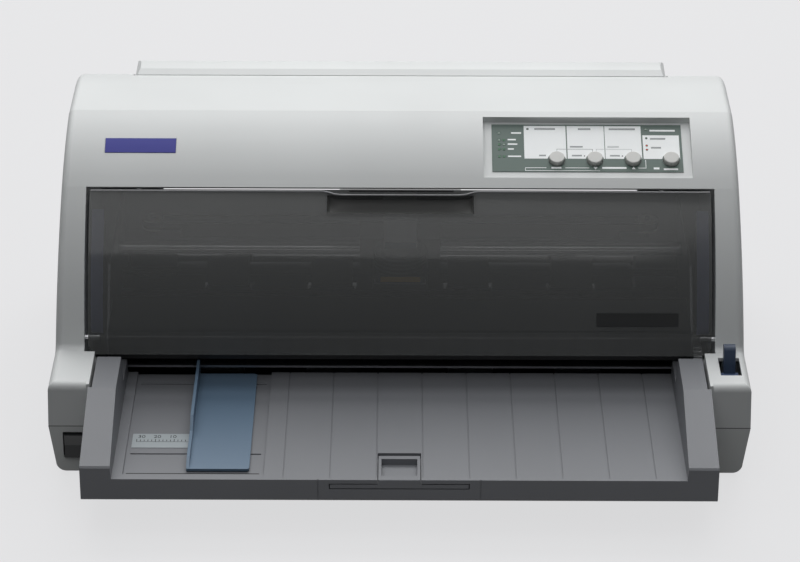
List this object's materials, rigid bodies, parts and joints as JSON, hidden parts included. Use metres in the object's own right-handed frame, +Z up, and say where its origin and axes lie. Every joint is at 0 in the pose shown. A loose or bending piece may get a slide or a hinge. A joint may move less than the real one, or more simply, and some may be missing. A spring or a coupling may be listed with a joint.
{
  "type": "dot matrix printer",
  "caption": "Flat-bed dot matrix printer with a fold-down smoke window, a front sheet shelf with a sliding edge guide, a rear hatch over a tractor feed and a key panel.",
  "frame": {"origin": "on the table under the middle of the printer's outline", "axes": "+X to the right as seen from the front, +Y from the front to the back, +Z up"},
  "size_m": [0.48, 0.37, 0.2009],
  "materials": {
    "case_plastic": "light grey fine-grained moulded plastic",
    "case_grey": "mid grey fine-grained moulded plastic",
    "shelf_grey": "dark grey moulded plastic",
    "black_plastic": "black moulded plastic",
    "smoke": "smoke-tinted clear plastic",
    "hatch_grey": "light grey moulded plastic",
    "blue_plastic": "slate blue moulded plastic",
    "key_grey": "pale grey plastic",
    "label": "printed film label",
    "scale": "printed film strip",
    "badge": "deep blue glossy plate",
    "lens": "clear lamp lens",
    "rubber": "black rubber",
    "steel": "bright steel",
    "zinc": "zinc-plated sheet steel",
    "chrome": "polished steel rod",
    "aluminium": "cast aluminium",
    "gear_white": "natural acetal plastic",
    "board_green": "green circuit board",
    "flat_cable": "white flat cable"
  },
  "bodies": {
    "housing": {"lower_case": "case_grey", "upper_case": "case_plastic", "front_sheet_guide": "shelf_grey", "scale_label": "scale", "hinge_pins": "steel", "panel_label": "label", "panel_board": "board_green", "led_lenses": "lens", "badge_plate": "badge", "lever_shaft": "steel", "switch_housing": "black_plastic", "rubber_feet": "rubber", "case_screws": "steel", "side_frame_left": "zinc", "side_frame_right": "zinc", "chassis_plate": "zinc", "platen": "black_plastic", "upper_sheet_guide": "black_plastic", "steel_strip": "steel", "front_sheet_plate": "zinc", "rear_sheet_plate": "zinc", "feed_motor": "zinc", "carriage_motor": "zinc", "guide_rod": "chrome", "carriage_rail": "zinc", "timing_belt": "rubber", "pulley_brackets": "zinc", "tractor_rod": "steel", "main_board": "board_green", "power_supply": "board_green"},
    "window": {"front_cover": "smoke"},
    "hatch": {"rear_hatch": "hatch_grey"},
    "side_guide": {"edge_guide": "blue_plastic"},
    "extension": {"sheet_extension": "shelf_grey"},
    "lever": {"release_lever": "blue_plastic"},
    "rocker": {"power_rocker": "black_plastic"},
    "push_key_1": {"key_1": "key_grey"},
    "push_key_2": {"key_2": "key_grey"},
    "push_key_3": {"key_3": "key_grey"},
    "push_key_4": {"key_4": "key_grey"},
    "head_unit": {"carriage": "black_plastic", "print_head": "aluminium", "ribbon_shield": "steel", "head_cable": "flat_cable"},
    "front_roller": {"front_feed_roller": "steel"},
    "rear_roller": {"rear_feed_roller": "steel"},
    "front_pinch": {"front_pinch_roller": "rubber"},
    "rear_pinch": {"rear_pinch_roller": "rubber"},
    "idler_1": {"idler_gear_1": "gear_white"},
    "idler_2": {"idler_gear_2": "gear_white"},
    "idler_3": {"idler_gear_3": "gear_white"},
    "pinion": {"motor_pinion": "gear_white"},
    "pulley_left": {"drive_pulley": "gear_white"},
    "pulley_right": {"idler_pulley": "gear_white"},
    "left_tractor": {"tractor_left": "black_plastic"},
    "right_tractor": {"tractor_right": "black_plastic"},
    "left_sprocket": {"sprocket_left": "gear_white"},
    "right_sprocket": {"sprocket_right": "gear_white"},
    "tractor_drive": {"tractor_shaft": "steel"}
  },
  "joints": [
    {"name": "window_hinge", "type": "hinge", "parent": "housing", "child": "window", "pos_m": [0, -0.05309, 0.07786], "axis": [1, 0, 0], "range_deg": [0, 95]},
    {"name": "hatch_hinge", "type": "hinge", "parent": "housing", "child": "hatch", "pos_m": [0, 0.1775, 0.104], "axis": [-1, 0, 0], "range_deg": [0, 70]},
    {"name": "side_guide_slide", "type": "slide", "parent": "housing", "child": "side_guide", "axis": [1, 0, 0], "range_m": [-0.04, 0.008]},
    {"name": "extension_slide", "type": "slide", "parent": "housing", "child": "extension", "axis": [0, -1, 0], "range_m": [0, 0.085]},
    {"name": "lever_tilt", "type": "hinge", "parent": "housing", "child": "lever", "pos_m": [0.2268, -0.082, 0.05], "axis": [1, 0, 0], "range_deg": [0, 22]},
    {"name": "rocker_tilt", "type": "hinge", "parent": "housing", "child": "rocker", "pos_m": [-0.22325, -0.104, 0.0245], "axis": [1, 0, 0], "range_deg": [-7, 7]},
    {"name": "key_1_press", "type": "slide", "parent": "housing", "child": "push_key_1", "axis": [0, 0.4112, -0.9116], "range_m": [0, 0.0012], "stiffness_N_per_m": 250, "springref_m": -0.001},
    {"name": "key_2_press", "type": "slide", "parent": "housing", "child": "push_key_2", "axis": [0, 0.4112, -0.9116], "range_m": [0, 0.0012], "stiffness_N_per_m": 250, "springref_m": -0.001},
    {"name": "key_3_press", "type": "slide", "parent": "housing", "child": "push_key_3", "axis": [0, 0.4112, -0.9116], "range_m": [0, 0.0012], "stiffness_N_per_m": 250, "springref_m": -0.001},
    {"name": "key_4_press", "type": "slide", "parent": "housing", "child": "push_key_4", "axis": [0, 0.4112, -0.9116], "range_m": [0, 0.0012], "stiffness_N_per_m": 250, "springref_m": -0.001},
    {"name": "carriage_slide", "type": "slide", "parent": "housing", "child": "head_unit", "axis": [1, 0, 0], "range_m": [-0.15, 0.15]},
    {"name": "rear_roller_spin", "type": "hinge", "parent": "housing", "child": "rear_roller", "pos_m": [0, 0.085, 0.0397], "axis": [1, 0, 0], "continuous": true},
    {"name": "front_roller_spin", "type": "hinge", "parent": "housing", "child": "front_roller", "pos_m": [0, -0.01686, 0.0397], "axis": [1, 0, 0], "continuous": true},
    {"name": "front_pinch_spin", "type": "hinge", "parent": "housing", "child": "front_pinch", "pos_m": [0, -0.01686, 0.0569], "axis": [1, 0, 0], "continuous": true},
    {"name": "rear_pinch_spin", "type": "hinge", "parent": "housing", "child": "rear_pinch", "pos_m": [0, 0.085, 0.0598], "axis": [1, 0, 0], "continuous": true},
    {"name": "idler_1_spin", "type": "hinge", "parent": "housing", "child": "idler_1", "pos_m": [0.21, 0.05648, 0.0397], "axis": [1, 0, 0], "continuous": true},
    {"name": "idler_2_spin", "type": "hinge", "parent": "housing", "child": "idler_2", "pos_m": [0.21, 0.03407, 0.0397], "axis": [1, 0, 0], "continuous": true},
    {"name": "idler_3_spin", "type": "hinge", "parent": "housing", "child": "idler_3", "pos_m": [0.21, 0.01166, 0.0397], "axis": [1, 0, 0], "continuous": true},
    {"name": "pinion_spin", "type": "hinge", "parent": "housing", "child": "pinion", "pos_m": [0.21, 0.10492, 0.05203], "axis": [1, 0, 0], "continuous": true},
    {"name": "drive_pulley_spin", "type": "hinge", "parent": "housing", "child": "pulley_left", "pos_m": [-0.183, 0.114, 0.0855], "axis": [0, 0, 1], "continuous": true},
    {"name": "idler_pulley_spin", "type": "hinge", "parent": "housing", "child": "pulley_right", "pos_m": [0.183, 0.114, 0.0855], "axis": [0, 0, 1], "continuous": true},
    {"name": "left_tractor_slide", "type": "slide", "parent": "housing", "child": "left_tractor", "axis": [1, 0, 0], "range_m": [-0.03, 0.03]},
    {"name": "right_tractor_slide", "type": "slide", "parent": "housing", "child": "right_tractor", "axis": [1, 0, 0], "range_m": [-0.06, 0.03]},
    {"name": "left_sprocket_spin", "type": "hinge", "parent": "left_tractor", "child": "left_sprocket", "pos_m": [-0.12, 0.166, 0.04], "axis": [1, 0, 0], "continuous": true},
    {"name": "right_sprocket_spin", "type": "hinge", "parent": "right_tractor", "child": "right_sprocket", "pos_m": [0.12, 0.166, 0.04], "axis": [1, 0, 0], "continuous": true},
    {"name": "tractor_shaft_spin", "type": "hinge", "parent": "housing", "child": "tractor_drive", "pos_m": [0, 0.166, 0.04], "axis": [1, 0, 0], "continuous": true}
  ],
  "couplings": [
    {"joint": "front_roller_spin", "follows": "rear_roller_spin", "ratio": 1},
    {"joint": "rear_pinch_spin", "follows": "rear_roller_spin", "ratio": -0.69565},
    {"joint": "front_pinch_spin", "follows": "rear_roller_spin", "ratio": -0.93023},
    {"joint": "idler_1_spin", "follows": "rear_roller_spin", "ratio": -1.5455},
    {"joint": "idler_2_spin", "follows": "rear_roller_spin", "ratio": 1.5455},
    {"joint": "idler_3_spin", "follows": "rear_roller_spin", "ratio": -1.5455},
    {"joint": "pinion_spin", "follows": "rear_roller_spin", "ratio": -2.8333},
    {"joint": "left_sprocket_spin", "follows": "rear_roller_spin", "ratio": 1},
    {"joint": "right_sprocket_spin", "follows": "rear_roller_spin", "ratio": 1},
    {"joint": "tractor_shaft_spin", "follows": "rear_roller_spin", "ratio": 1},
    {"joint": "drive_pulley_spin", "follows": "carriage_slide", "rad_per_m": 166.67},
    {"joint": "idler_pulley_spin", "follows": "carriage_slide", "rad_per_m": 166.67}
  ]
}
